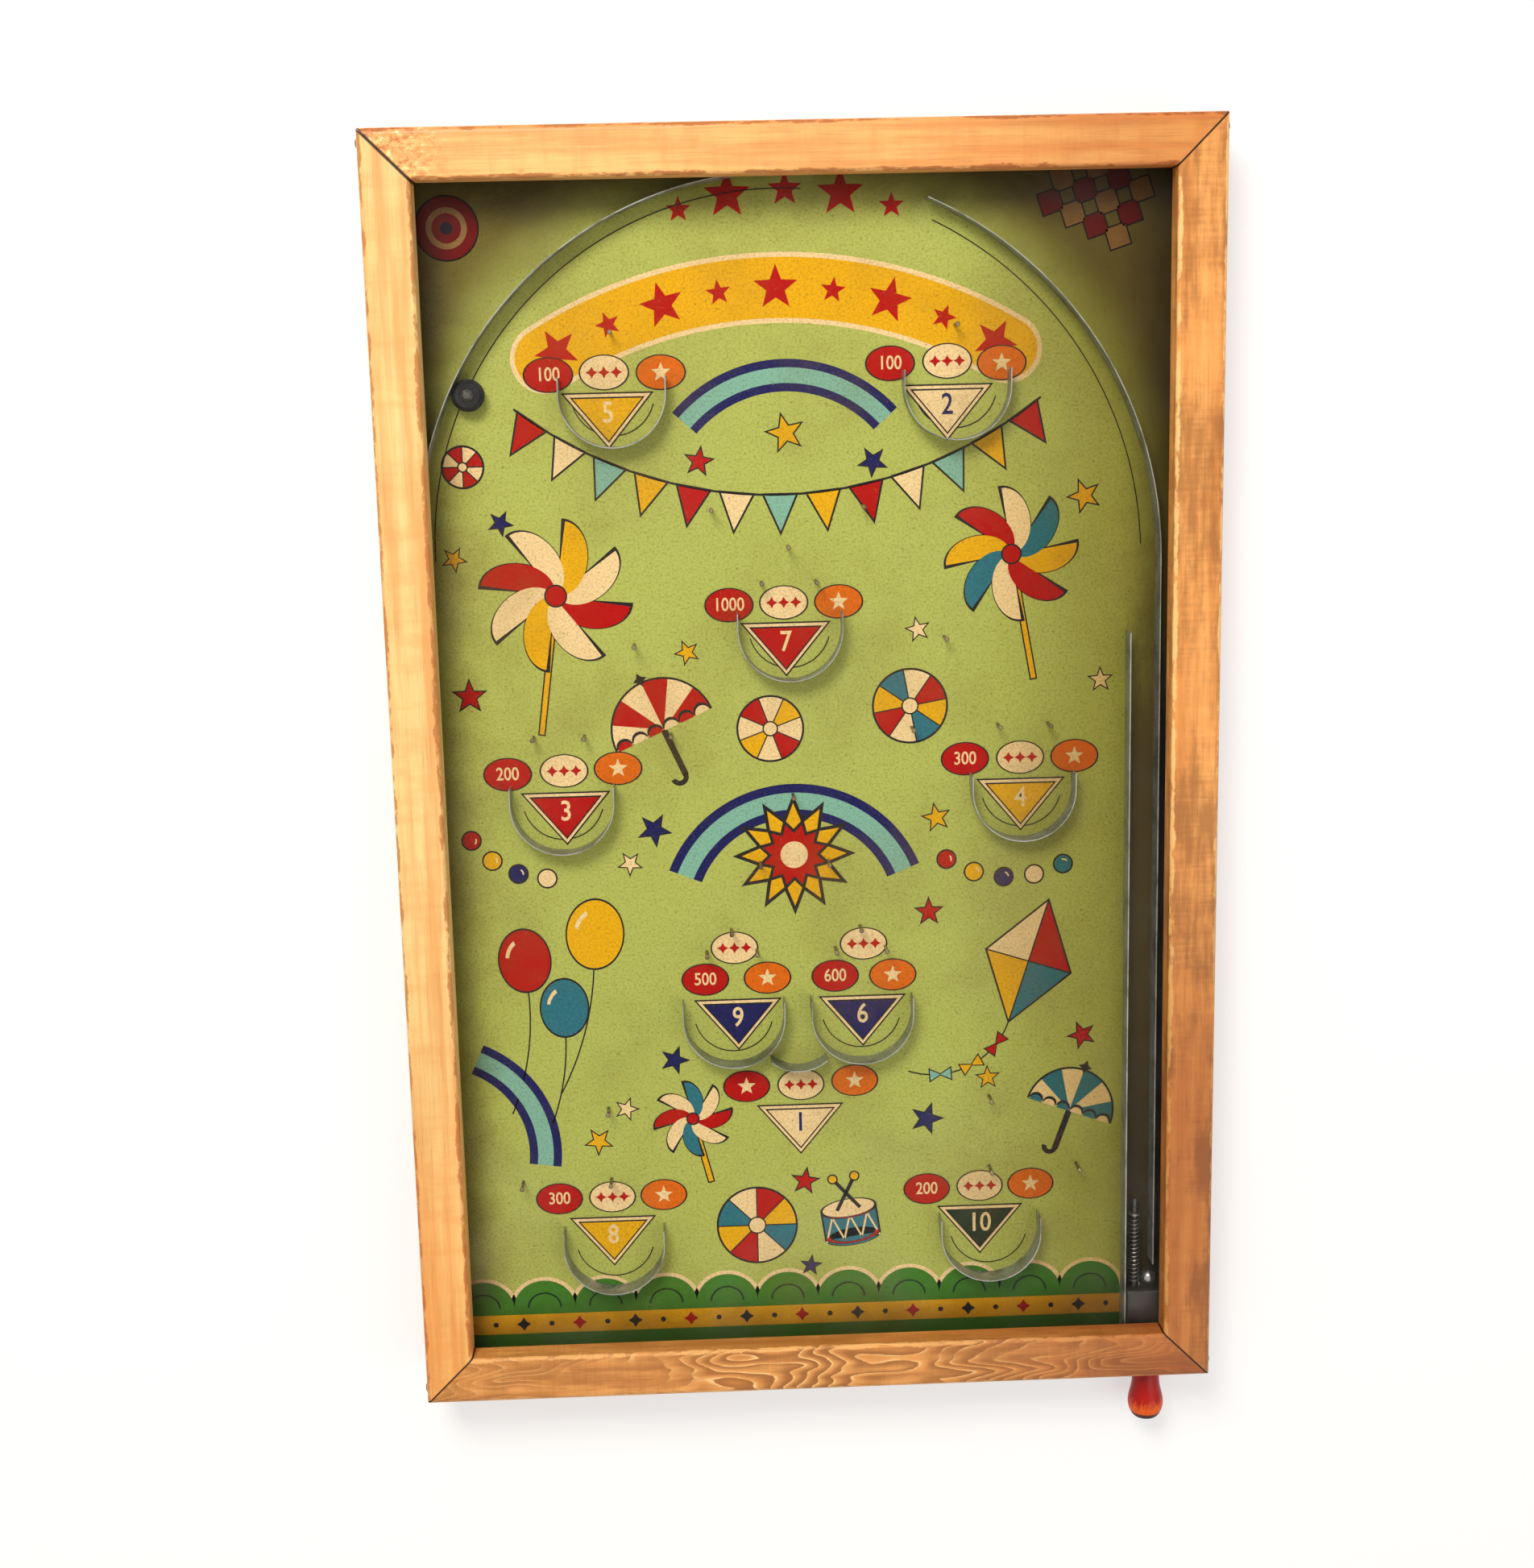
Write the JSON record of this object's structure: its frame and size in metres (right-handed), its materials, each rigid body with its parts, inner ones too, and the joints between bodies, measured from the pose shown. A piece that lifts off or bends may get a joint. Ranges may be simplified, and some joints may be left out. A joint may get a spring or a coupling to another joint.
{
  "type": "bagatelle board game",
  "caption": "Table-top bagatelle: a mitred wooden case with glass over a printed board of nails and steel cups, a ball lane with a sprung plunger, and a folding wire stand at the back.",
  "frame": {"origin": "under the middle of the whole outline, knob included, at the back faces of the wooden rails", "axes": "+Z out of the glass, +Y towards the head of the board, +X towards the ball lane"},
  "size_m": [0.3832, 0.6252, 0.038],
  "materials": {
    "pine": "old varnish, satin",
    "glass": "clear",
    "printed_board": "printed hardboard, satin",
    "strip_steel": "rolled, dull",
    "housing_steel": "dark grey, satin",
    "nail_steel": "bright, a little tarnished",
    "wire_steel": "drawn wire",
    "ball_steel": "polished",
    "painted_wood": "worn red gloss",
    "bumper_rubber": "matt"
  },
  "bodies": {
    "cabinet": {"frame_rail_left": "pine", "frame_rail_right": "pine", "frame_rail_top": "pine", "frame_rail_bottom": "pine", "glass_pane": "glass", "playfield_board": "printed_board", "cup_top_left": "strip_steel", "cup_top_right": "strip_steel", "cup_centre": "strip_steel", "cup_side_left": "strip_steel", "cup_side_right": "strip_steel", "cup_low_left": "strip_steel", "cup_low_right": "strip_steel", "cup_foot_left": "strip_steel", "cup_foot_right": "strip_steel", "catch_arc": "strip_steel", "arch_strip": "strip_steel", "lane_outer_strip": "strip_steel", "lane_divider_strip": "strip_steel", "plunger_housing": "housing_steel", "playfield_pins": "nail_steel", "bumper_rubber": "bumper_rubber", "bumper_nail": "nail_steel", "case_nails": "nail_steel", "field_brads": "nail_steel", "stand_staples": "wire_steel", "plunger_spring": "wire_steel"},
    "plunger": {"plunger_rod": "wire_steel", "plunger_collar": "wire_steel", "plunger_knob": "painted_wood"},
    "ball": {"steel_ball": "ball_steel"},
    "stand": {"wire_stand": "wire_steel"}
  },
  "joints": [
    {"name": "plunger_slide", "type": "slide", "parent": "cabinet", "child": "plunger", "axis": [0, -1, 0], "range_m": [0, 0.018], "stiffness_N_per_m": 1260, "springref_m": -0.002, "deforming": ["plunger_spring"]},
    {"name": "ball_roll", "type": "slide", "parent": "cabinet", "child": "ball", "axis": [1, 0, 0], "range_m": [0, 0.0098]},
    {"name": "stand_swing", "type": "hinge", "parent": "cabinet", "child": "stand", "pos_m": [0, 0.29715, 0.0046], "axis": [1, 0, 0], "range_deg": [0, 100]}
  ]
}
